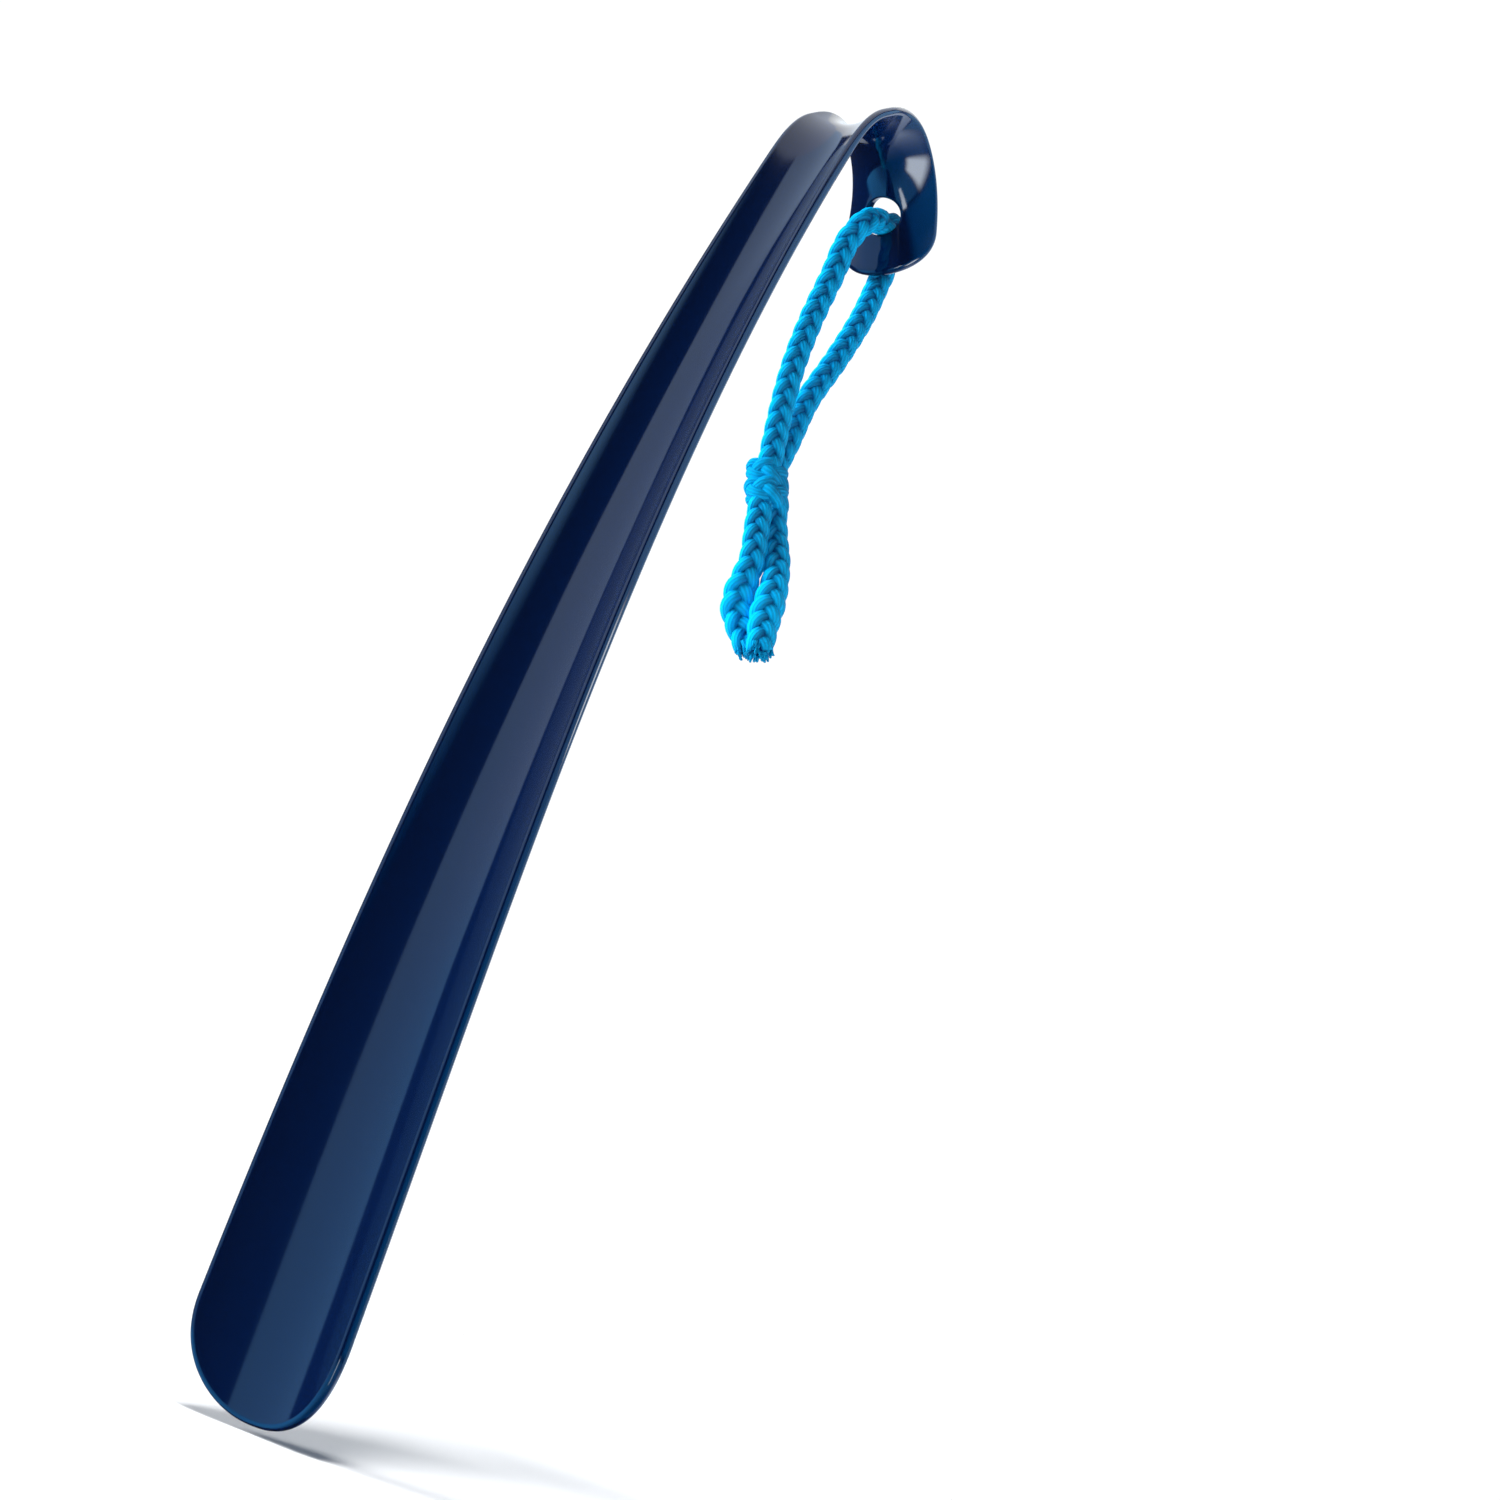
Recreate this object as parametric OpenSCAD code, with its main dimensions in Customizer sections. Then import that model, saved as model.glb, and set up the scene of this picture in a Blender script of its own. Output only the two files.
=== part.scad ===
// Long shoehorn with a carrying cord.
// One moulded plastic strip: a wide rounded tip, a long narrowing blade that is a shallow
// gutter in section, and an open hook at the top. A cord is threaded through a hole near
// the end of the hook and tied into a hanging loop with one knot and two short tails.
//
// Millimetres. The horn hangs by its hook: +Z is up, +X is across the blade and the hollow
// side of the blade faces -Y. The origin is the inside of the hook's crown, where a rail
// would touch it. "Arc" means distance along the strip's centreline, starting at the tip.

/* [Strip] */
// Length of the strip along its centreline, tip to hook end
arc_len = 393; // [380:1:420]
// Wall thickness of the moulding
wall = 2.5; // [2:0.1:3.5]
// Gentle backward bend of the whole strip, degrees
blade_bend = 21; // [10:1:26]
// How late that gentle bend builds up
bend_power = 1.7; // [1.3:0.1:2]

/* [Blade] */
// Width of the tip
tip_w = 40; // [34:1:46]
// Width of the neck below the hook
neck_w = 24; // [20:1:28]
// Arc at which the blade starts to narrow
taper_start = 6; // [0:1:40]
// Arc at which it reaches the neck width
neck_at = 332; // [290:1:345]
// Gutter depth at the tip
tip_depth = 6; // [4:0.2:7.5]
// Gutter depth in the middle of the blade
mid_depth = 6.6; // [4:0.2:8]
// Gutter depth at the neck
neck_depth = 4.2; // [3:0.2:5]
// Arc over which the tip is rounded
tip_round = 20; // [15:1:24]

/* [Hook] */
// Arc at which the hook starts
hook_start = 319; // [310:1:325]
// Angle the hook turns through, degrees
hook_bend = 143; // [120:1:150]
// Width at the end of the hook
end_w = 29; // [26:1:32]
// Gutter depth just past the crown
hook_depth = 8.6; // [6:0.2:9]
// Gutter depth at the end of the hook
end_depth = 5.6; // [4:0.2:6.4]
// Arc over which the hook end is rounded
end_round = 13; // [10:1:14]

/* [Cord hole] */
// Diameter of the hole
hole_d = 10; // [9:0.5:11]
// Distance from the hook end to the hole's centre
hole_from_end = 16; // [14:0.5:19]

/* [Cord] */
// Cord diameter
cord_d = 6; // [5:0.5:6]
// Diameter of the cord where it is wrapped in the knot
wrap_d = 5.6; // [5:0.2:6.4]

/* [Hidden] */
tip_power = 2.2;              // roundness of the tip outline, 2 is an ellipse
mid_depth_at = 140;           // arcs at which the gutter depths apply
neck_depth_at = 343;
hook_depth_at = 361;
flare_start = 357;            // arc at which the hook end starts to widen
across = 12;                  // facets across one face of the strip
rim = 4;                      // facets round each rim
step = 0.5;                   // step of the centreline, arc
steps = arc_len / step;
cord_sides = 10;
horn_col = [0.01, 0.03, 0.12];
cord_col = [0.02, 0.45, 0.75];

// ---- easing and tables ----
function ease3(t) = let (u = max(0, min(1, t))) u * u * (3 - 2 * u);
function ease5(t) = let (u = max(0, min(1, t))) u * u * u * (10 - 15 * u + 6 * u * u);
function between(s, a, b) = ease3((s - a) / (b - a));

// ---- strip along its arc ----
function turn(s) = blade_bend * pow(max(0, min(arc_len, s)) / arc_len, bend_power)
    + hook_bend * ease5((s - hook_start) / (arc_len - hook_start));
function width(s) = tip_w + (neck_w - tip_w) * between(s, taper_start, neck_at)
    + (end_w - neck_w) * between(s, flare_start, arc_len);
function depth(s) = tip_depth + (mid_depth - tip_depth) * between(s, 0, mid_depth_at)
    + (neck_depth - mid_depth) * between(s, mid_depth_at, neck_depth_at)
    + (hook_depth - neck_depth) * between(s, neck_depth_at, hook_depth_at)
    + (end_depth - hook_depth) * between(s, hook_depth_at, arc_len);
function rounding(g, p) = pow(max(0, 1 - pow(max(0, 1 - g), p)), 1 / p);
function half_width(s) = width(s) / 2 * rounding(s / tip_round, tip_power)
    * rounding((arc_len - s) / end_round, 2);

// Centreline in the YZ plane, from the tip
raw = [for (i = 0, p = [0, 0]; i <= steps;
        p = p + step * [sin(turn((i + 0.5) * step)), cos(turn((i + 0.5) * step))], i = i + 1) p];
function raw_at(s) = let (k = min(steps - 1, floor(s / step)), f = s / step - k)
    raw[k] * (1 - f) + raw[k + 1] * f;
// The crown is where the strip has turned through a right angle
crown_i = [for (i = [0 : steps]) if (turn(i * step) >= 90) i][0];
crown_part = (turn(crown_i * step) - 90) / (turn(crown_i * step) - turn((crown_i - 1) * step));
origin = raw_at((crown_i - crown_part) * step) - [0, wall / 2];
function centre(s) = raw_at(s) - origin;
// Unit normal on the hollow side
function hollow(s) = [-cos(turn(s)), sin(turn(s))];

// ---- section of the strip: a parabola with full-round rims ----
function point(s, x, v) = let (c = centre(s), n = hollow(s)) [x, c[0] + v * n[0], c[1] + v * n[1]];
function ring(s) = let (t = wall / 2, w = width(s) / 2, d = depth(s), h = max(half_width(s) - t, 0.3))
    concat(
        [for (j = [0 : across]) let (x = h * (1 - 2 * j / across), a = atan(2 * d * x / w / w))
            point(s, x - t * sin(a), d * x * x / w / w + t * cos(a))],
        [for (j = [1 : rim - 1]) let (a = atan(2 * d * h / w / w), q = 180 * j / rim)
            point(s, -h + t * cos(q) * sin(a) - t * sin(q) * cos(a),
                d * h * h / w / w + t * cos(q) * cos(a) + t * sin(q) * sin(a))],
        [for (j = [0 : across]) let (x = -h * (1 - 2 * j / across), a = atan(2 * d * x / w / w))
            point(s, x + t * sin(a), d * x * x / w / w - t * cos(a))],
        [for (j = [1 : rim - 1]) let (a = atan(2 * d * h / w / w), q = 180 - 180 * j / rim)
            point(s, h - t * cos(q) * sin(a) + t * sin(q) * cos(a),
                d * h * h / w / w + t * cos(q) * cos(a) + t * sin(q) * sin(a))]);
stations = concat(
    [for (a = [4, 10, 18, 27, 38, 50, 63, 77]) tip_round * (1 - cos(a))],
    [for (i = [0 : 20]) tip_round + (hook_start - 6 - tip_round) * i / 20],
    [for (i = [1 : 26]) hook_start - 6 + (arc_len - end_round - hook_start + 6) * i / 26],
    [for (a = [77, 63, 50, 38, 27, 18, 10, 4]) arc_len - end_round * (1 - cos(a))]);
per_ring = 2 * (across + 1) + 2 * (rim - 1);

// Skin of m rings of n points each, closed by the given caps
function skin(m, n) = [for (i = [0 : m - 2], j = [0 : n - 1], k = [0, 1])
    let (a = i * n + j, b = i * n + (j + 1) % n, c = a + n, d = b + n)
    k == 0 ? [a, b, d] : [a, d, c]];
// Flat cap over a strip ring: a band of quads between the faces and a fan in each rim
function strip_cap(o, flip) = let (m = across + 1, back = m + rim - 1, last = back + across,
        tri = concat(
            [for (j = [0 : across - 1]) each [[o + j, o + last - j, o + j + 1],
                [o + j + 1, o + last - j, o + last - j - 1]]],
            [for (j = [m : back - 1]) [o + m - 1, o + j + 1, o + j]],
            [for (j = [last + 1 : per_ring - 1]) [o + last, o + (j + 1) % per_ring, o + j]]))
    flip ? [for (f = tri) [f[0], f[2], f[1]]] : tri;
// Simple fan over a round ring
function fan(o, n, flip) = [for (j = [1 : n - 2]) flip ? [o, o + j + 1, o + j] : [o, o + j, o + j + 1]];

// ---- cord hole ----
hole_arc = arc_len - hole_from_end;
hole_c = point(hole_arc, 0, 0);
hole_n = [0, hollow(hole_arc)[0], hollow(hole_arc)[1]];
hole_tilt = atan2(hole_n[2], hole_n[1]);

// ---- cord ----
// Each route starts on the plane through the middle of the hole and leaves square to it
front_route = [hole_c, hole_c - 4.5 * hole_n, [0.5, 8.4, -17], [-2, 7.3, -24], [-3, 7.5, -35],
    [-5.2, 8.2, -48.5], [-6, 8.7, -62], [-5.6, 9.2, -74], [-4.5, 10, -92]];
rear_route = [hole_c, hole_c + 5.5 * hole_n, [-0.5, 25.5, -10], [-1.5, 27.3, -17],
    [-2, 27, -25], [-1.2, 24.3, -37.5], [-2.5, 21.2, -52], [-4.7, 18.2, -66.5],
    [-5, 16.8, -79.5], [-5, 16.3, -92]];
left_route = [[-3.5, 10, -100], [-1.5, 10, -108.5], [0.8, 10.3, -118], [0, 11, -126.5],
    [0, 12, -132.5], [2, 13.5, -138], [4, 14.5, -142.5]];
right_route = [[-1, 16.5, -100], [1.5, 16.3, -109], [5, 15.2, -115.5], [7.2, 14, -121.5],
    [8.5, 13, -127.5], [9, 12.2, -133.5], [10.5, 11.5, -139.5], [11.5, 11.3, -144]];
knot_c = [-4.5, 13.2, -96];
knot_lean = 19;               // the knot's lower end leans towards +X, degrees
knot_gap = 4.6;               // spacing of the three wraps
knot_r = wrap_d / 2 + 0.2;    // radius of the wraps' centreline
knot_core = knot_gap + wrap_d / 2 - 0.4;  // half height of the core inside them

function unit(v) = v / norm(v);
function spline(a, b, c, d, t) = 0.5 * (2 * b + (c - a) * t + (2 * a - 5 * b + 4 * c - d) * t * t
    + (3 * b - a - 3 * c + d) * t * t * t);
function spline_dir(a, b, c, d, t) = unit((c - a) + 2 * (2 * a - 5 * b + 4 * c - d) * t
    + 3 * (3 * b - a - 3 * c + d) * t * t);
// Points and directions along a route: two steps in each stretch, ends taken square
function run(r) = let (n = len(r) - 1, e = concat([2 * r[0] - r[1]], r, [2 * r[n] - r[n - 1]]))
    concat([for (i = [0 : n - 1], t = [0, 0.5])
        [spline(e[i], e[i + 1], e[i + 2], e[i + 3], t),
            i + t == 0 ? unit(r[1] - r[0]) : spline_dir(e[i], e[i + 1], e[i + 2], e[i + 3], t)]],
        [[r[n], unit(r[n] - r[n - 1])]]);

module tube(route, d) {
    line = run(route);
    pts = [for (p = line) let (u = unit([1, 0, 0] - p[1][0] * p[1]), v = cross(p[1], u))
        for (j = [0 : cord_sides - 1])
            p[0] + d / 2 * (cos(360 * j / cord_sides) * u + sin(360 * j / cord_sides) * v)];
    polyhedron(pts, concat([for (f = skin(len(line), cord_sides)) [f[0], f[2], f[1]]],
        fan(0, cord_sides, false),
        fan((len(line) - 1) * cord_sides, cord_sides, true)), convexity = 6);
}

// ---- sub-parts ----

// The moulded strip: tip, blade and hook in one piece, drilled for the cord
module horn() color(horn_col) difference() {
    polyhedron([for (s = stations) each ring(s)],
        concat(skin(len(stations), per_ring), strip_cap(0, false),
            strip_cap((len(stations) - 1) * per_ring, true)), convexity = 10);
    translate(hole_c) rotate([hole_tilt - 90, 0, 0])
        cylinder(d = hole_d, h = 30, center = true, $fn = 64);
}

// Cord from the hole down in front of the hook end
module cord_front() color(cord_col) tube(front_route, cord_d);

// Cord from the hole down behind the hook end
module cord_rear() color(cord_col) tube(rear_route, cord_d);

// Three wraps that tie the two strands together
module cord_knot() color(cord_col) translate(knot_c) rotate([0, -knot_lean, 0])
    rotate_extrude($fn = 48) {
        for (k = [-1 : 1]) translate([knot_r, k * knot_gap]) circle(d = wrap_d, $fn = 32);
        translate([0, -knot_core]) square([knot_r, 2 * knot_core]);
    }

// The two loose ends below the knot
module cord_tail_left() color(cord_col) tube(left_route, cord_d);
module cord_tail_right() color(cord_col) tube(right_route, cord_d);

horn();
cord_front();
cord_rear();
cord_knot();
cord_tail_left();
cord_tail_right();
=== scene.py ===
"""Looks of the long shoehorn: glossy navy moulding, plaited blue cord, pale floor and soft studio light.

The scene is in metres. The horn and the cord are worked out in millimetres and scaled by MM.
"""

import math

import bmesh
import bpy
import numpy as np
from mathutils import Matrix, Vector


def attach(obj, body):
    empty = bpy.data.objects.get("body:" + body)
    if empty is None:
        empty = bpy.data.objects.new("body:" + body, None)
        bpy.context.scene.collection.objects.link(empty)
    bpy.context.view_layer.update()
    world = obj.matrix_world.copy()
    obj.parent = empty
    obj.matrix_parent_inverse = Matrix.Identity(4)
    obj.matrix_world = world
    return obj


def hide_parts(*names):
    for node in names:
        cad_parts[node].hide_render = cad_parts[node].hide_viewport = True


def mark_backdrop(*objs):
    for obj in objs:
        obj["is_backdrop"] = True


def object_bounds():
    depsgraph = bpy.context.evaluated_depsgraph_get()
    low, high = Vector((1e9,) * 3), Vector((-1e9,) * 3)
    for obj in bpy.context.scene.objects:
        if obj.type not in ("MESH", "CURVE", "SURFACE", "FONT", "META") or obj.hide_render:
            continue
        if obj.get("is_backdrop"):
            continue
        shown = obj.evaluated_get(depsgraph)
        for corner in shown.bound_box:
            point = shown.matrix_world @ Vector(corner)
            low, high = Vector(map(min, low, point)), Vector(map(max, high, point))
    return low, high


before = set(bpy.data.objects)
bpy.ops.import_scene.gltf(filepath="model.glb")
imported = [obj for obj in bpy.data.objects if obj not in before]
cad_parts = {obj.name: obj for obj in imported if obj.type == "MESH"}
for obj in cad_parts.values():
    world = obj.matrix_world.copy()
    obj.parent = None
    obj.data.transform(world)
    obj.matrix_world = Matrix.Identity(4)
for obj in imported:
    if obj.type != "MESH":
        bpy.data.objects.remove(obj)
cad_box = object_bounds()
MM = 0.001
scene = bpy.context.scene

# ---------------------------------------------------------------- camera
CAM_PLACE = (0.26334, -0.36880, -0.31038)
CAM_RIGHT = Vector((0.84763, 0.43408, 0.30512))
CAM_AHEAD = Vector((-0.51809, 0.80118, 0.29947))
CAM_LENS, CAM_SENSOR = 47.82, 36


def add_camera():
    camera = bpy.data.objects.new("camera", bpy.data.cameras.new("camera"))
    scene.collection.objects.link(camera)
    turned = Matrix((CAM_RIGHT, CAM_RIGHT.cross(CAM_AHEAD), -CAM_AHEAD)).transposed()
    camera.matrix_world = Matrix.Translation(CAM_PLACE) @ turned.to_4x4()
    camera.data.lens = CAM_LENS
    camera.data.sensor_width = CAM_SENSOR
    camera.data.clip_start = 0.01
    scene.camera = camera


add_camera()


# ---------------------------------------------------------------- materials
def node(tree, kind, settings=(), **inputs):
    """A new shader node with its settings and its named inputs; an underscore stands for a space."""
    made = tree.nodes.new("ShaderNode" + kind)
    for name, value in dict(settings).items():
        setattr(made, name, value)
    for name, value in inputs.items():
        made.inputs[name.replace("_", " ")].default_value = value
    return made


def principled(name, color, rough, **inputs):
    mat = bpy.data.materials.new(name)
    mat.use_nodes = True
    shader = mat.node_tree.nodes["Principled BSDF"]
    shader.inputs["Base Color"].default_value = (*color, 1)
    shader.inputs["Roughness"].default_value = rough
    for key, value in inputs.items():
        shader.inputs[key.replace("_", " ")].default_value = value
    return mat, mat.node_tree, shader


def navy_plastic():
    """Polished plastic whose gloss varies slightly from place to place."""
    mat, tree, shader = principled("navy_gloss_plastic", (0.0002, 0.0050, 0.031), 0.10, IOR=1.5)
    coord = node(tree, "TexCoord")
    noise = node(tree, "TexNoise", Scale=90, Detail=3)
    gloss = node(tree, "MapRange", To_Min=0.07, To_Max=0.12)
    tree.links.new(coord.outputs["Object"], noise.inputs["Vector"])
    tree.links.new(noise.outputs["Fac"], gloss.inputs["Value"])
    tree.links.new(gloss.outputs["Result"], shader.inputs["Roughness"])
    return mat


def cord_fabric():
    """Fine threads along each strand, with painted shade: deep blue in the grooves between strands, bright
    on the crests.
    """
    mat, tree, shader = principled("plaited_cord_groove_shaded", (0.0, 0.26, 0.60), 0.6, IOR=1.3, Specular_IOR_Level=0.15)
    uv = node(tree, "UVMap", {"uv_map": "thread"})
    bands = {"wave_type": "BANDS", "bands_direction": "X"}
    wave = node(tree, "TexWave", bands, Scale=1.0, Distortion=1.2, Detail=2)
    bump = node(tree, "Bump", Strength=0.55, Distance=0.0002)
    split = node(tree, "SeparateXYZ")
    # painted shade: height from the cord's middle mixes deep blue into the grooves and leaves the crests
    # bright
    groove_shade_height = node(tree, "MapRange", From_Min=0.52, From_Max=0.95)
    groove_shade_mix = node(tree, "Mix", {"data_type": "RGBA"}, A=(0.0, 0.035, 0.16, 1), B=(0.0, 0.51, 0.99, 1))
    fine = node(tree, "Mix", {"data_type": "RGBA", "blend_type": "MULTIPLY"}, Factor=0.24)
    tree.links.new(uv.outputs["UV"], wave.inputs["Vector"])
    tree.links.new(uv.outputs["UV"], split.inputs[0])
    tree.links.new(split.outputs["Y"], groove_shade_height.inputs["Value"])
    tree.links.new(groove_shade_height.outputs["Result"], groove_shade_mix.inputs["Factor"])
    tree.links.new(groove_shade_mix.outputs["Result"], fine.inputs["A"])
    tree.links.new(wave.outputs["Color"], fine.inputs["B"])
    tree.links.new(fine.outputs["Result"], shader.inputs["Base Color"])
    tree.links.new(wave.outputs["Fac"], bump.inputs["Height"])
    tree.links.new(bump.outputs["Normal"], shader.inputs["Normal"])
    return mat


def add_object(name, mesh, mat):
    mesh.materials.append(mat)
    made = bpy.data.objects.new(name, mesh)
    scene.collection.objects.link(made)
    return made


navy = navy_plastic()
blue = cord_fabric()

# ---------------------------------------------------------------- the horn's shape, millimetres
ARC = 393.0  # length of the strip along its centreline; an arc is a distance from the tip along it
WALL = 2.5
HALF_WALL = WALL / 2
BLADE_BEND, BEND_POWER = 21, 1.7
HOOK_START, HOOK_BEND = 319, 143
TIP_W, NECK_W, END_W = 40, 24, 29
TAPER_START, NECK_AT, FLARE_START = 6, 332, 357
TIP_DEPTH, MID_DEPTH, NECK_DEPTH, HOOK_DEPTH, END_DEPTH = 6, 6.6, 4.2, 8.6, 5.6
MID_DEPTH_AT, NECK_DEPTH_AT, HOOK_DEPTH_AT = 140, 343, 361
TIP_ROUND, TIP_POWER, END_ROUND, END_POWER = 20, 2.2, 13, 2
HOLE_ARC, HOLE_R, HOLE_LIP = ARC - 16.0, 5.0, 0.6


def unit(v):
    return v / np.linalg.norm(v, axis=-1, keepdims=True)


def between(s, a, b):
    """Eased rise from 0 at arc a to 1 at arc b."""
    t = np.clip((s - a) / (b - a), 0, 1)
    return t * t * (3 - 2 * t)


def turning(s):
    """Angle that the strip has turned through: a late gentle bend, then the hook."""
    blade = BLADE_BEND * (np.clip(s, 0, ARC) / ARC) ** BEND_POWER
    t = np.clip((s - HOOK_START) / (ARC - HOOK_START), 0, 1)
    return np.radians(blade + HOOK_BEND * t**3 * (10 - 15 * t + 6 * t * t))


def width(s):
    taper = (TIP_W - NECK_W) * between(s, TAPER_START, NECK_AT)
    return TIP_W - taper + (END_W - NECK_W) * between(s, FLARE_START, ARC)


def depth(s):
    """How far the gutter's middle lies below its edges."""
    blade = TIP_DEPTH + (MID_DEPTH - TIP_DEPTH) * between(s, 0, MID_DEPTH_AT)
    neck = (NECK_DEPTH - MID_DEPTH) * between(s, MID_DEPTH_AT, NECK_DEPTH_AT)
    crown = (HOOK_DEPTH - NECK_DEPTH) * between(s, NECK_DEPTH_AT, HOOK_DEPTH_AT)
    return blade + neck + crown + (END_DEPTH - HOOK_DEPTH) * between(s, HOOK_DEPTH_AT, ARC)


def rounding(part, power):
    return np.maximum(0, 1 - np.clip(1 - part, 0, 1) ** power) ** (1 / power)


def inset_half(s):
    """Half width of the flat faces, one rim radius inside the outline."""
    tip = rounding((s - HALF_WALL) / (TIP_ROUND - HALF_WALL), TIP_POWER)
    end = rounding((ARC - HALF_WALL - s) / (END_ROUND - HALF_WALL), END_POWER)
    return np.maximum((width(s) / 2 - HALF_WALL) * tip * end, 0)


# the centreline in small steps, moved so that the inside of the hook's crown is the origin
STEP = 0.1
line_s = np.arange(0, ARC + STEP / 2, STEP)
step_turn = turning(line_s[:-1] + STEP / 2)
line_y = np.concatenate([[0], np.cumsum(np.sin(step_turn) * STEP)])
line_z = np.concatenate([[0], np.cumsum(np.cos(step_turn) * STEP)])
crown_arc = np.interp(math.pi / 2, turning(line_s), line_s)
line_y -= np.interp(crown_arc, line_s, line_y)
line_z -= np.interp(crown_arc, line_s, line_z) - HALF_WALL


def sheet_point(s, x):
    """Middle of the wall at arc s and x across it."""
    s, x = np.broadcast_arrays(np.asarray(s, float), np.asarray(x, float))
    turned = turning(s)
    raised = depth(s) * (x / (width(s) / 2)) ** 2
    y = np.interp(s, line_s, line_y) - raised * np.cos(turned)
    z = np.interp(s, line_s, line_z) + raised * np.sin(turned)
    return np.stack([x, y, z], -1)


def sheet_frame(s, x):
    """Point, unit normal on the hollow side, and unit directions along x and s."""
    small = 0.02
    along_x = unit(sheet_point(s, x + small) - sheet_point(s, x - small))
    along_s = unit(sheet_point(np.clip(s + small, 0, ARC), x) - sheet_point(np.clip(s - small, 0, ARC), x))
    return sheet_point(s, x), unit(np.cross(along_x, along_s)), along_x, along_s


# ---------------------------------------------------------------- the horn's mesh
COLUMNS = 37  # points across each face
FINE_FROM, FINE_STEP = 314, 0.75  # arc at which the closer rows of the hook start
PATCH_ARCS = (368, 386)  # the square patch of each face that holds the hole
PATCH_COLUMNS = (5, 31)


class Skin:
    """Points with their normals, and the faces between them."""

    def __init__(self):
        self.co, self.no, self.faces = [], [], []

    def add(self, co, no):
        start = len(self.co)
        self.co.extend(np.asarray(co).reshape(-1, 3).tolist())
        self.no.extend(np.asarray(no).reshape(-1, 3).tolist())
        return np.arange(start, len(self.co)).reshape(np.asarray(co).shape[:-1])

    def quads(self, ids, flip=False, wrap=False):
        rows, cols = ids.shape
        for i in range(rows - 1):
            for j in range(cols if wrap else cols - 1):
                k = (j + 1) % cols
                corners = [ids[i, j], ids[i, k], ids[i + 1, k], ids[i + 1, j]]
                corners = [v for n, v in enumerate(corners) if v not in corners[:n]]
                if len(corners) > 2:
                    self.faces.append([int(v) for v in (corners[::-1] if flip else corners)])

    def to_object(self, name, mat):
        mesh = bpy.data.meshes.new(name)
        mesh.from_pydata([[c * MM for c in p] for p in self.co], [], self.faces)
        mesh.validate()
        mesh.polygons.foreach_set("use_smooth", [True] * len(mesh.polygons))
        mesh.normals_split_custom_set_from_vertices([Vector(n).normalized() for n in self.no])
        return add_object(name, mesh, mat)


def row_arcs():
    """Arcs of the rows of points: close together at the two round ends and on the hook."""
    tip_r, end_r = TIP_ROUND - HALF_WALL, END_ROUND - HALF_WALL
    near_tip = HALF_WALL + tip_r * (1 - np.cos(np.radians(np.linspace(0, 88, 30))))
    blade = np.linspace(near_tip[-1], FINE_FROM, 101)[1:]
    hook = np.arange(FINE_FROM + FINE_STEP, PATCH_ARCS[1] + 0.01, FINE_STEP)
    end = ARC - HALF_WALL
    first = math.degrees(math.acos(1 - (end - PATCH_ARCS[1]) / end_r))
    near_end = end - end_r * (1 - np.cos(np.radians(np.linspace(first, 0, 18))))
    return np.concatenate([near_tip, blade, hook, near_end[1:]])


def add_faces(skin, s, x, patch):
    """The hollow side (1) and the outer side (-1), each with a square gap for the hole."""
    i0, i1, j0, j1 = patch
    middle, normal, _, _ = sheet_frame(s, x)
    faces = {}
    for side in (1, -1):
        ids = skin.add(middle + side * HALF_WALL * normal, side * normal)
        ids[0, :] = ids[0, 0]
        ids[-1, :] = ids[-1, 0]
        for block in (ids[: i0 + 1], ids[i1:], ids[i0 : i1 + 1, : j0 + 1], ids[i0 : i1 + 1, j1:]):
            skin.quads(block, flip=side > 0)
        faces[side] = ids
    return faces


def add_hole(skin, faces, s, x, patch):
    """The patch drawn in to a circle on both sides, a rounded lip, and the bore between them."""
    i0, i1, j0, j1 = patch
    loop = [(i0, j) for j in range(j0, j1)] + [(i, j1) for i in range(i0, i1)]
    loop += [(i1, j) for j in range(j1, j0, -1)] + [(i, j0) for i in range(i1, i0, -1)]
    loop_s = np.array([s[i, j] - HOLE_ARC for i, j in loop])
    loop_x = np.array([x[i, j] for i, j in loop])
    angle = np.arctan2(loop_x, loop_s)
    outer = HOLE_R + HOLE_LIP
    bore = {}
    for side in (1, -1):
        rows = [np.array([faces[side][i, j] for i, j in loop])]
        for t in np.linspace(0, 1, 9)[1:]:
            ring_s = loop_s * (1 - t) + np.cos(angle) * outer * t
            ring_x = loop_x * (1 - t) + np.sin(angle) * outer * t
            middle, normal, _, _ = sheet_frame(HOLE_ARC + ring_s, ring_x)
            rows.append(skin.add(middle + side * HALF_WALL * normal, side * normal))
        for f in np.radians([22.5, 45, 67.5, 90]):
            r = HOLE_R + HOLE_LIP * (1 - math.sin(f))
            height = HALF_WALL - HOLE_LIP * (1 - math.cos(f))
            middle, normal, along_x, along_s = sheet_frame(HOLE_ARC + r * np.cos(angle), r * np.sin(angle))
            inward = -(along_s * np.cos(angle)[:, None] + along_x * np.sin(angle)[:, None])
            facing = inward * math.sin(f) + side * normal * math.cos(f)
            rows.append(skin.add(middle + side * height * normal, facing))
        skin.quads(np.array(rows), flip=side > 0, wrap=True)
        bore[side] = rows[-1]
    skin.quads(np.array([bore[1], bore[-1]]), flip=True, wrap=True)


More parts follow.
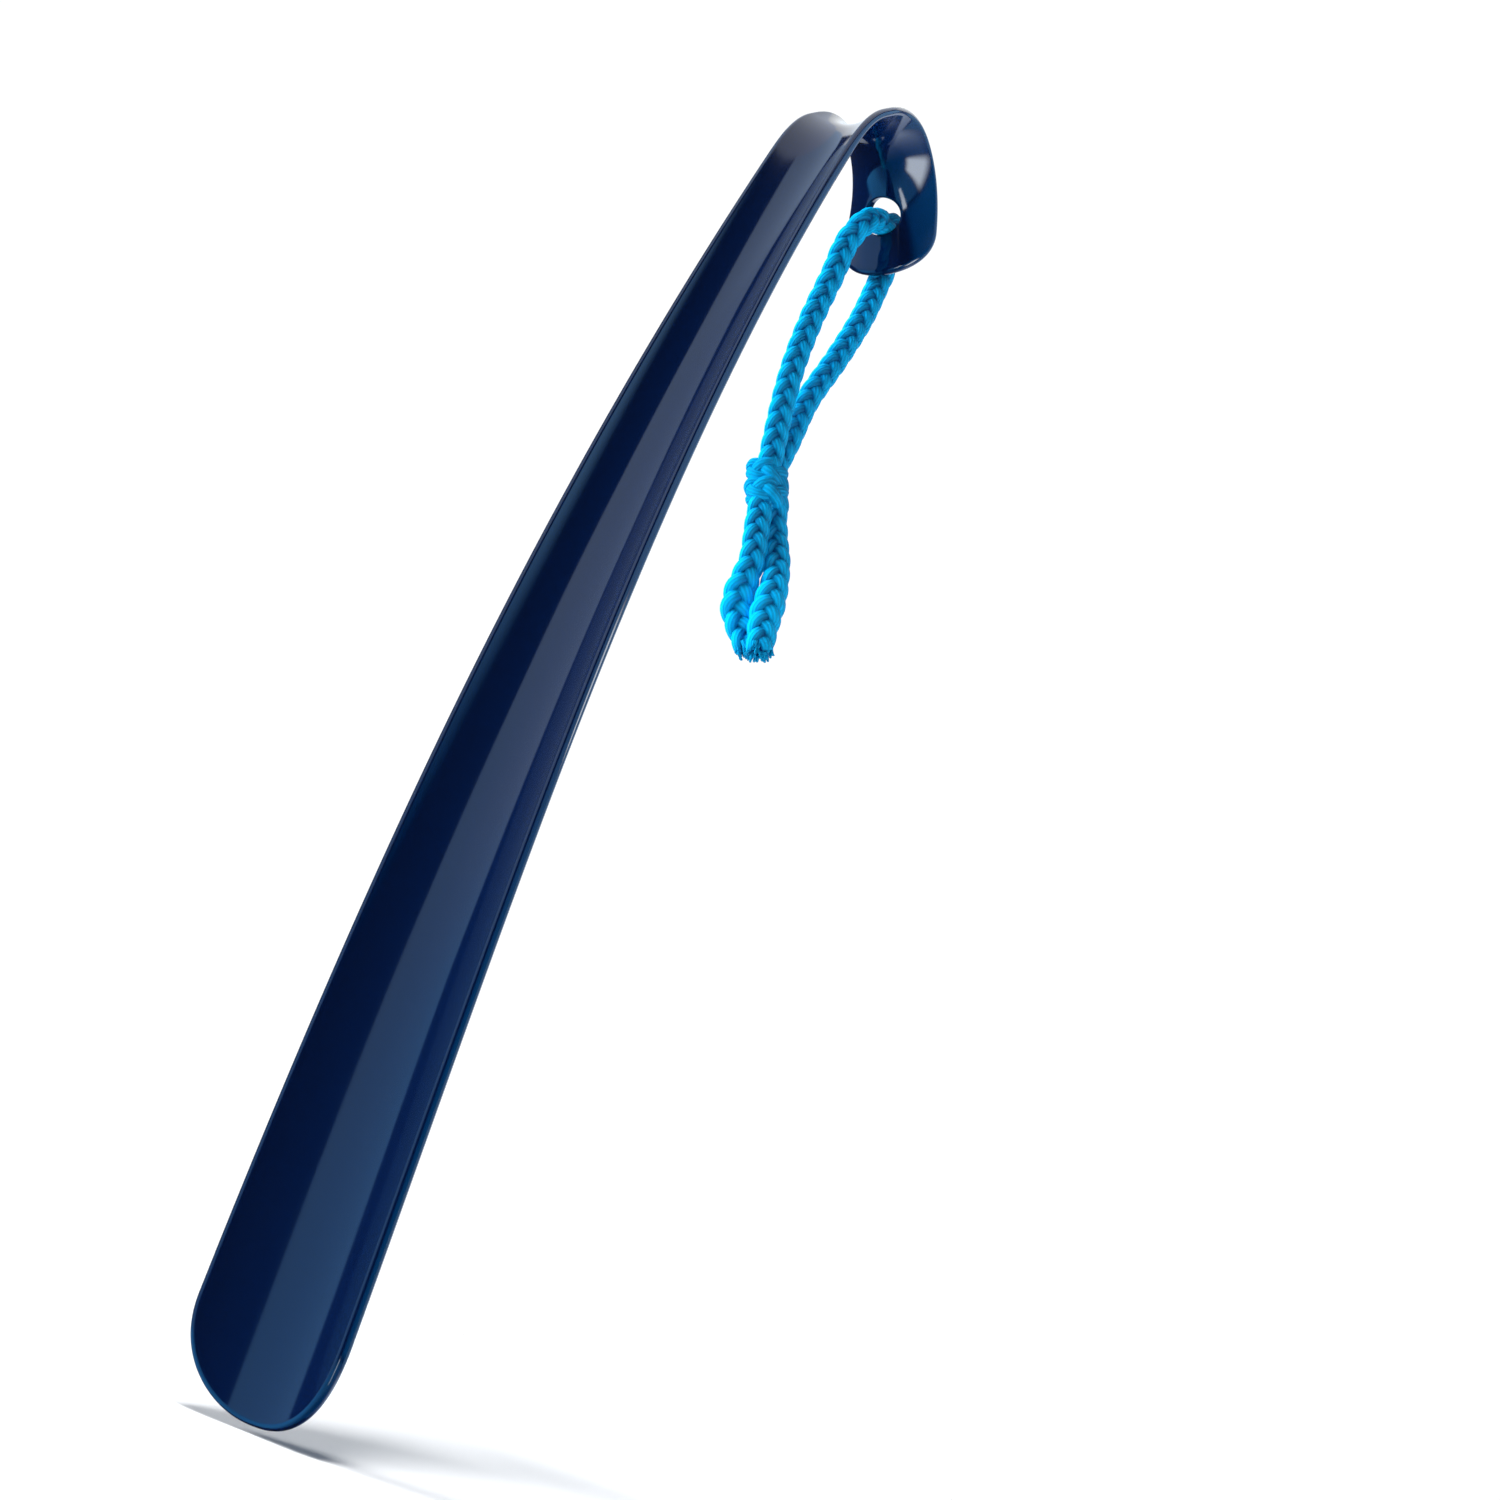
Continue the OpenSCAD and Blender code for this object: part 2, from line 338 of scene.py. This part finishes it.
def add_rim(skin, faces, s, x):
    """Full-round rim all the way round the outline."""
    rows_n, cols_n = s.shape
    rim = [(i, 0) for i in range(rows_n)] + [(i, cols_n - 1) for i in range(rows_n - 2, 0, -1)]
    rim_s = np.array([s[i, j] for i, j in rim])
    rim_x = np.array([x[i, j] for i, j in rim])
    step_s = np.roll(rim_s, -1) - np.roll(rim_s, 1)
    step_x = np.roll(rim_x, -1) - np.roll(rim_x, 1)
    length = np.hypot(step_s, step_x)
    middle, normal, along_x, along_s = sheet_frame(rim_s, rim_x)
    out = along_s * (-step_x / length)[:, None] + along_x * (step_s / length)[:, None]
    out = unit(out - normal * np.sum(out * normal, -1, keepdims=True))
    rows = [np.array([faces[1][i, j] for i, j in rim])]
    for f in np.radians(np.linspace(0, 180, 13)[1:-1]):
        facing = normal * math.cos(f) + out * math.sin(f)
        rows.append(skin.add(middle + HALF_WALL * facing, facing))
    rows.append(np.array([faces[-1][i, j] for i, j in rim]))
    skin.quads(np.array(rows), flip=True, wrap=True)


def build_horn():
    arcs = row_arcs()
    half = inset_half(arcs)
    half[0] = half[-1] = 0
    s = np.repeat(arcs[:, None], COLUMNS, 1)
    x = half[:, None] * np.linspace(1, -1, COLUMNS)[None]
    patch = (*(int(np.argmin(abs(arcs - a))) for a in PATCH_ARCS), *PATCH_COLUMNS)
    skin = Skin()
    faces = add_faces(skin, s, x, patch)
    add_hole(skin, faces, s, x, patch)
    add_rim(skin, faces, s, x)
    return skin.to_object("horn_moulding", navy)


def check_outward(made):
    bm = bmesh.new()
    bm.from_mesh(made.data)
    volume = bm.calc_volume(signed=True)
    bm.free()
    if volume < 0:
        raise ValueError("the horn's faces point inwards")


horn = build_horn()
check_outward(horn)
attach(horn, "horn")
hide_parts("horn")

# ---------------------------------------------------------------- the cord's route, millimetres
hole = sheet_point(HOLE_ARC, 0.0)
hole_turn = float(turning(HOLE_ARC))
hole_dir = np.array([0, -math.cos(hole_turn), math.sin(hole_turn)])
to_lower_edge = np.array([0, math.sin(hole_turn), math.cos(hole_turn)])
seat = hole + 1.6 * to_lower_edge  # the cord rests on the hole's lower edge
FRONT = [seat, seat - 4.5 * hole_dir, (0.4, 8.2, -18.2), (-2, 7.3, -25), (-3, 7.5, -35), (-5.2, 8.2, -48.5),
         (-6, 8.7, -62), (-5.6, 9.4, -74), (-4.8, 10.6, -86), (-4.4, 11.7, -93)]
LEFT_END = [(-3.4, 11.6, -100), (-1.5, 10.6, -108.5), (0.6, 10.4, -118), (0, 11, -126.5), (0.2, 12, -131.5),
            (2.6, 13.6, -136.5), (5.2, 14.6, -140.5)]
REAR = [seat, seat + 5.5 * hole_dir, (-0.5, 25.7, -11), (-1.5, 27.8, -17), (-2, 27.5, -25),
        (-1.2, 24.3, -37.5), (-2.5, 21.2, -52), (-4.7, 18.2, -66.5), (-5, 16.6, -79.5), (-5, 14.9, -92)]
RIGHT_END = [(-1.6, 14.9, -100), (1.3, 16.0, -109), (4.6, 15.2, -115.5), (6.8, 14, -121.5), (8, 13, -127.5),
             (8.8, 12.2, -133.5), (10, 11.6, -138.5), (11, 11.3, -142.5)]


def spline(points, spacing):
    """Evenly spaced points on a smooth line through the given ones, and the distance to each."""
    p = np.array([np.asarray(v, float) for v in points])
    ends = np.vstack([2 * p[0] - p[1], p, 2 * p[-1] - p[-2]])
    t = np.linspace(0, 1, 40, endpoint=False)[:, None]
    fine = []
    for a, b, c, d in zip(ends[:-3], ends[1:-2], ends[2:-1], ends[3:]):
        square = (2 * a - 5 * b + 4 * c - d) * t**2
        cube = (3 * b - a - 3 * c + d) * t**3
        fine.append(0.5 * (2 * b + (c - a) * t + square + cube))
    fine = np.vstack(fine + [p[-1:]])
    run = np.concatenate([[0], np.cumsum(np.linalg.norm(np.diff(fine, axis=0), axis=1))])
    along = np.linspace(0, run[-1], max(2, int(run[-1] / spacing)))
    return np.stack([np.interp(along, run, fine[:, k]) for k in range(3)], 1), along


# ---------------------------------------------------------------- the cord's plait
PITCH = 14.2  # length in which one strand of the plait crosses over and back
SPACING = 0.3  # between rings along a strand
SIDES = 16  # points round a strand
OPEN_BEFORE, OPEN_SPAN = 12, 8  # a loose end is most open this far before its tip
RIDGES, RIDGE_TWIST, RIDGE_HEIGHT = 5, 1.3, 0.035  # low ridges of yarn that run round each strand
THREAD_ROUND, THREAD_ALONG = 0.6, 0.07  # scale of the thread pattern
TO_CAMERA = -np.array(CAM_AHEAD)  # the way that the flat plait faces on its free stretches


def tube_faces(start, rings):
    """Faces of a closed strand whose points begin at start, with its two end points last."""
    faces = []
    for i in range(rings - 1):
        lower, upper = start + i * SIDES, start + (i + 1) * SIDES
        for j in range(SIDES):
            k = (j + 1) % SIDES
            faces.append((lower + j, lower + k, upper + k, upper + j))
    last, tips = start + (rings - 1) * SIDES, start + rings * SIDES
    for j in range(SIDES):
        k = (j + 1) % SIDES
        faces.append((start + k, start + j, tips))
        faces.append((last + j, last + k, tips + 1))
    return faces


def plaited(name, points, reach=1.8, rise=0.95, thick=1.72, facing=None, loose=0.0, start=0.0, lit=0.0):
    """Three strands plaited flat along a route through the points, and the line that they follow.

    reach and rise are how far a strand swings across the plait and through it, and thick is its radius.
    facing gives the side that the plait shows, from the path. loose opens the plait near its end,
    start turns the strands on at the beginning, and lit is the least height fed to the painted groove
    shade, so that no place is shaded more deeply than at that height.
    """
    path, along = spline(points, SPACING)
    tangent = unit(np.gradient(path, axis=0))
    face = np.broadcast_to(TO_CAMERA, path.shape) if facing is None else facing(path)
    wide = unit(np.cross(tangent, face))
    face = np.cross(wide, tangent)
    opened = 1 + loose * np.exp(-(((along[-1] - along - OPEN_BEFORE) / OPEN_SPAN) ** 2))
    round_strand = np.linspace(0, 2 * math.pi, SIDES, endpoint=False)
    verts, faces, thread, groove_shade_height = [], [], [], []
    for k in range(3):
        swing = 2 * math.pi * (along / PITCH + k / 3) + start
        across = wide * (reach * opened * np.sin(swing))[:, None]
        centre = path + across + face * (rise * np.sin(2 * swing))[:, None]
        ahead = unit(np.gradient(centre, axis=0))
        u = unit(np.cross(ahead, face))
        v = np.cross(u, ahead)
        radius = thick * (1 + 0.10 * np.cos(2 * swing)) * (0.6 + 0.4 * opened)
        ridges = np.cos(RIDGES * round_strand[None] + RIDGE_TWIST * along[:, None])
        radius = radius[:, None] * (1 + RIDGE_HEIGHT * ridges)
        cosine, sine = np.cos(round_strand)[None, :, None], np.sin(round_strand)[None, :, None]
        ring = centre[:, None] + radius[..., None] * (cosine * u[:, None] + sine * v[:, None])
        faces += tube_faces(len(verts), len(path))
        verts += ring.reshape(-1, 3).tolist() + [centre[0].tolist(), centre[-1].tolist()]
        # painted shade: each point's height from the route goes into the UV map's second channel and sets
        # how dark the groove shade paints it
        height = np.linalg.norm(ring - path[:, None], axis=-1) / (reach + thick)
        groove_shade_height += np.maximum(height, lit).ravel().tolist() + [0, 0]
        pattern = round_strand[None] * THREAD_ROUND + THREAD_ALONG * along[:, None]
        thread += pattern.ravel().tolist() + [0, 0]
    mesh = bpy.data.meshes.new(name)
    mesh.from_pydata([[c * MM for c in p] for p in verts], [], faces)
    mesh.polygons.foreach_set("use_smooth", [True] * len(mesh.polygons))
    corner = np.zeros(len(mesh.loops), int)
    mesh.loops.foreach_get("vertex_index", corner)
    uv = np.stack([np.array(thread)[corner], np.array(groove_shade_height)[corner]], 1)
    mesh.uv_layers.new(name="thread").data.foreach_set("uv", uv.astype(np.float32).ravel())
    return add_object(name, mesh, blue), path * MM


FIBRES = 46
FIBRE_R = 0.5
FIBRE_SIDES = 5
FIBRE_LENGTH = (1.8, 3.6)
FIBRE_LEAN, FIBRE_STRAY = 0.35, 0.08
BUNDLE_R, BUNDLE_BACK = 2.9, 1.4  # the fibres start this near the cord's middle, this far before its end
FIBRE_SHADE_HEIGHT = 0.84  # where the fibres sit on the painted groove shade, from shaded groove (low) to bright crest (high)


def frayed(name, end, seed):
    """Short loose fibres fanned out of the cut end of a route."""
    rng = np.random.default_rng(seed)
    tip = np.asarray(end[-1])
    ahead = unit(np.subtract(end[-1], end[-2]))
    a = unit(np.cross(ahead, (0, 1, 0)))
    b = np.cross(ahead, a)
    bm = bmesh.new()
    for _ in range(FIBRES):
        turn = rng.uniform(0, 2 * math.pi)
        out = math.sqrt(rng.uniform(0, 1))
        side = math.cos(turn) * a + math.sin(turn) * b
        root = tip + side * out * BUNDLE_R - ahead * BUNDLE_BACK
        length = rng.uniform(*FIBRE_LENGTH)
        lean = side * out * rng.uniform(0.0, FIBRE_LEAN) + rng.normal(0, FIBRE_STRAY, 3)
        rings = []
        for part in np.linspace(0, 1, 4):
            centre = root + ahead * length * part + lean * length * part * part
            radius = FIBRE_R * (1 - 0.35 * part)
            angles = np.linspace(0, 2 * math.pi, FIBRE_SIDES, endpoint=False)
            ring = [centre + radius * (math.cos(g) * a + math.sin(g) * b) for g in angles]
            rings.append([bm.verts.new((p * MM).tolist()) for p in ring])
        for lo, hi in zip(rings[:-1], rings[1:]):
            for j in range(FIBRE_SIDES):
                k = (j + 1) % FIBRE_SIDES
                bm.faces.new((lo[j], lo[k], hi[k], hi[j]))
        bm.faces.new(rings[-1])
    mesh = bpy.data.meshes.new(name)
    bm.normal_update()
    bm.to_mesh(mesh)
    bm.free()
    # painted shade: every fibre gets one height on the groove shade's scale, near the crest, so little
    # shade
    uv = np.tile([0.0, FIBRE_SHADE_HEIGHT], len(mesh.loops)).astype(np.float32)
    mesh.uv_layers.new(name="thread").data.foreach_set("uv", uv)
    mesh.polygons.foreach_set("use_smooth", [True] * len(mesh.polygons))
    return add_object(name, mesh, blue)


# ---------------------------------------------------------------- the cord's knot
KNOT_AT = np.array([-4.5, 13.2, -96.0])
KNOT_LEAN = math.radians(19)
KNOT_AXIS = np.array([-math.sin(KNOT_LEAN), 0, math.cos(KNOT_LEAN)])
KNOT_SIDE = np.array([math.cos(KNOT_LEAN), 0, math.sin(KNOT_LEAN)])
KNOT_DEPTH = np.array([0, 1.0, 0])
KNOT_TURNS, KNOT_R = 2.1, 3.6
KNOT_TOP, KNOT_LENGTH = 5.4, 11.6
KNOT_START = 2.2  # angle of the first wrap, radians


def from_knot_axis(p):
    offset = p - KNOT_AT
    return offset - KNOT_AXIS * (offset @ KNOT_AXIS)[:, None]


def wrap_route():
    """The cord wound round both strands, its ends tucked in."""
    route = []
    for f in np.linspace(0, 1, 49):
        angle = 2 * math.pi * KNOT_TURNS * f + KNOT_START
        r = KNOT_R * min(1, 0.2 + 6 * min(f, 1 - f))
        level = KNOT_AXIS * (KNOT_TOP - KNOT_LENGTH * f)
        route.append(KNOT_AT + level + r * (math.cos(angle) * KNOT_SIDE + math.sin(angle) * KNOT_DEPTH))
    return route


cord_a, path_a = plaited("cord_strand_front", FRONT + LEFT_END, loose=0.42)
cord_b, path_b = plaited("cord_strand_rear", REAR + RIGHT_END, loose=0.36, start=2.1)
knot, _ = plaited("cord_wraps", wrap_route(), 2.1, 0.6, 1.65, from_knot_axis, lit=0.8)
ends = [frayed("frayed_end_left", LEFT_END, 3), frayed("frayed_end_right", RIGHT_END, 5)]
for piece in [cord_a, cord_b, knot, *ends]:
    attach(piece, "cord")
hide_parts("cord_front", "cord_tail_left")
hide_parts("cord_rear", "cord_tail_right")
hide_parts("cord_knot")

# ---------------------------------------------------------------- floor and background, metres
FLOOR_Z = -0.3436
FLOOR_R = 3.2
TENT_R = 3.3


def glowing(name, strength=1.0, layer=None):
    """A material that only shines: white, or in the colours of a layer of the mesh."""
    mat = bpy.data.materials.new(name)
    mat.use_nodes = True
    tree = mat.node_tree
    tree.nodes.clear()
    light = node(tree, "Emission", Color=(1, 1, 1, 1), Strength=strength)
    out = node(tree, "OutputMaterial")
    tree.links.new(light.outputs[0], out.inputs["Surface"])
    if layer:
        colours = node(tree, "VertexColor", {"layer_name": layer})
        tree.links.new(colours.outputs["Color"], light.inputs["Color"])
    return mat


def add_floor():
    place = (0, 0, FLOOR_Z)
    bpy.ops.mesh.primitive_circle_add(vertices=96, radius=FLOOR_R, fill_type="NGON", location=place)
    made = bpy.context.object
    made.name = "studio_floor"
    pale, _, _ = principled("pale_floor", (0.64, 0.64, 0.645), 0.9)
    made.data.materials.append(pale)
    made.visible_glossy = False
    return made


def add_tent():
    """A white tent that only the camera sees; the lamps do the lighting."""
    place = (0, 0, FLOOR_Z)
    bpy.ops.mesh.primitive_uv_sphere_add(segments=64, ring_count=32, radius=TENT_R, location=place)
    made = bpy.context.object
    made.name = "studio_tent"
    made.data.materials.append(glowing("tent_glow", 1.05))
    made.visible_glossy = made.visible_diffuse = made.visible_shadow = False
    return made


floor = add_floor()
tent = add_tent()
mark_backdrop(floor, tent)

world = bpy.data.worlds.new("studio_dark")
world.use_nodes = True
world.node_tree.nodes["Background"].inputs["Color"].default_value = (0.75, 0.87, 1.0, 1)
world.node_tree.nodes["Background"].inputs["Strength"].default_value = 0.03
scene.world = world


# ---------------------------------------------------------------- suns
def toward(azimuth, elevation):
    a, e = math.radians(azimuth), math.radians(elevation)
    return Vector((math.cos(a) * math.cos(e), math.sin(a) * math.cos(e), math.sin(e)))


def sun(name, azimuth, elevation, energy, spread, only=None):
    """A sun that reflections don't show; only names the one object that it lights."""
    data = bpy.data.lights.new(name, "SUN")
    data.energy = energy
    data.angle = math.radians(spread)
    made = bpy.data.objects.new(name, data)
    made.rotation_euler = (-toward(azimuth, elevation)).to_track_quat("-Z", "Y").to_euler()
    scene.collection.objects.link(made)
    made.visible_glossy = False
    if only:
        group = bpy.data.collections.new(name + "_lights")
        group.objects.link(only)
        made.light_linking.receiver_collection = group


sun("key", -141, 18, 6.0, 30)
sun("fill", -60, 12, 0.7, 80)
sun("side", 25, -10, 15.0, 40, horn)
sun("over_floor", -72, 60, 4.4, 14, floor)

# ---------------------------------------------------------------- panels seen in reflections alone
PANEL_R = 3.0
LOW_PANEL_R = 3.1
CARD_R = 0.2
TIP_Z = -0.34


def row_centre(elevation):
    """Low rows are level with the tip and high rows with the hook, so that a row fits the whole blade."""
    return Vector((0, 0, TIP_Z - TIP_Z * min(1, max(0, (elevation + 2) / 58))))


def panel(name, rows, distance=PANEL_R, count=28, centre=None, soft=0.0):
    """A glowing sheet. Each row: elevation, azimuth from and to in degrees, colour at both.

    soft is the part of its width and height over which it fades out at each edge.
    """
    known = [row[0] for row in rows]
    columns = np.array([np.hstack(row[1:]) for row in rows]).T
    levels = np.linspace(known[0], known[-1], count)
    table = np.array([np.interp(levels, known, column) for column in columns]).T
    steps = np.linspace(0, 1, count)
    fade = np.clip(np.minimum(steps, 1 - steps) / soft, 0, 1) if soft else np.ones(count)
    places, tints = [], []
    for level, row, row_fade in zip(levels, table, fade):
        heart = Vector(centre) if centre else row_centre(level)
        for t, t_fade in zip(steps, fade):
            places.append(toward(row[0] * (1 - t) + row[1] * t, level) * distance + heart)
            tints.append((*((row[2:5] * (1 - t) + row[5:] * t) * row_fade * t_fade), 1))
    faces = [(i * count + j, i * count + j + 1, (i + 1) * count + j + 1, (i + 1) * count + j)
             for i in range(count - 1) for j in range(count - 1)]
    mesh = bpy.data.meshes.new(name)
    mesh.from_pydata(places, [], faces)
    layer = mesh.color_attributes.new("glow", "FLOAT_COLOR", "POINT")
    layer.data.foreach_set("color", np.array(tints, np.float32).ravel())
    made = add_object(name, mesh, glowing(name, layer="glow"))
    made.visible_camera = made.visible_diffuse = made.visible_shadow = False
    made.visible_transmission = made.visible_volume_scatter = False
    made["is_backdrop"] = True


# the strip of light along the blade: dim blue low down, paler higher up
LOW, HIGH = np.array((0.36, 0.83, 1.40)), np.array((1.0, 1.3, 1.65))
panel("left_panel", [
    (-14, -109, -158, LOW, LOW * 0.9),
    (-2, -109, -163, LOW, LOW * 0.9),
    (10, -103, -160, LOW * 0.6 + HIGH * 0.3, LOW * 0.9),
    (19, -101, -164, (LOW + HIGH) * 0.5, HIGH * 0.65),
    (30, -101, -168, HIGH * 0.98, HIGH * 0.6),
    (43, -107, -166, HIGH, HIGH * 0.5),
    (47, -108, -198, HIGH * 0.95, HIGH * 0.7),
    (60, -106, -198, HIGH * 0.85, HIGH * 0.8),
])
TOP, ZENITH = (1.0, 1.1, 1.3), (1.5, 1.6, 1.8)
panel("top_panel", [
    (59, -180, 180, TOP, TOP),
    (90, -180, 180, ZENITH, ZENITH),
])
panel("back_panel", [
    (-44, 64, 100, (0.3, 0.5, 0.9), (0.2, 0.3, 0.5)),
    (-16, 70, 124, (1.6, 2.0, 2.6), (0.9, 1.0, 1.1)),
    (40, 72, 143, (1.4, 1.6, 1.8), (1.1, 1.2, 1.3)),
    (48, 72, 162, (1.5, 1.55, 1.6), (1.4, 1.45, 1.5)),
    (60, 72, 162, (1.5, 1.55, 1.6), (1.3, 1.35, 1.4)),
])
panel("right_panel", [
    (-14, 16, 68, (0.7, 1.5, 2.4), (0.35, 0.8, 1.25)),
    (52, 16, 68, (0.8, 1.6, 2.5), (0.6, 1.1, 1.6)),
])
FRONT_FROM, FRONT_TO = (0.0, 0.35, 1.2), (0.05, 0.8, 1.9)
panel("front_panel", [
    (-14, -68, 16, FRONT_FROM, FRONT_TO),
    (14, -68, 16, FRONT_FROM, FRONT_TO),
    (34, -68, 16, (0.6, 1.4, 2.5), (0.9, 1.7, 2.8)),
    (58, -68, 16, (0.8, 1.6, 2.7), (1.0, 1.9, 3.0)),
], soft=0.1)

# what a pale floor would give back: dim blue in front, brighter towards the left and the back
DARK = np.zeros(3)
DEEP, DIM, GLOW = np.array((0.0, 0.3, 0.8)), np.array((0.1, 0.5, 1.2)), np.array((0.2, 1.3, 2.8))
panel("low_panel", [
    (-90, -178, 6, DEEP, DEEP),
    (-60, -178, 6, DIM, DEEP),
    (-40, -178, 6, GLOW, DIM),
    (-16, -178, 6, GLOW, DIM),
    (-8, -178, 6, DARK, DARK),
], LOW_PANEL_R)
panel("low_back_panel", [
    (-90, 6, 70, DEEP, DEEP),
    (-50, 6, 70, DEEP, (0.5, 0.8, 1.3)),
    (-22, 6, 70, DIM, (2.4, 2.9, 3.6)),
    (-8, 6, 70, DARK, DARK),
], LOW_PANEL_R)

# two white cards that shine inside the hook
IN_HOOK = (0.010, 0.0114, 0.0012)
WHITE, OFF_WHITE = (9, 10, 11), (6, 7, 8)
panel("white_card", [
    (-52, -24, 8, WHITE, WHITE),
    (-18, -36, 8, WHITE, WHITE),
], CARD_R, 20, IN_HOOK, 0.2)
panel("slim_card", [
    (-42, -65, -58, OFF_WHITE, OFF_WHITE),
    (-18, -68, -60, WHITE, WHITE),
], PANEL_R, 4, IN_HOOK)

scene.view_settings.view_transform = "Standard"
scene.view_settings.look = "None"
scene.view_settings.exposure = 0
scene.view_settings.gamma = 1

sizes = {"cad": cad_box, "visual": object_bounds()}
sizes = {name: [list(map(float, corner)) for corner in box] for name, box in sizes.items()}
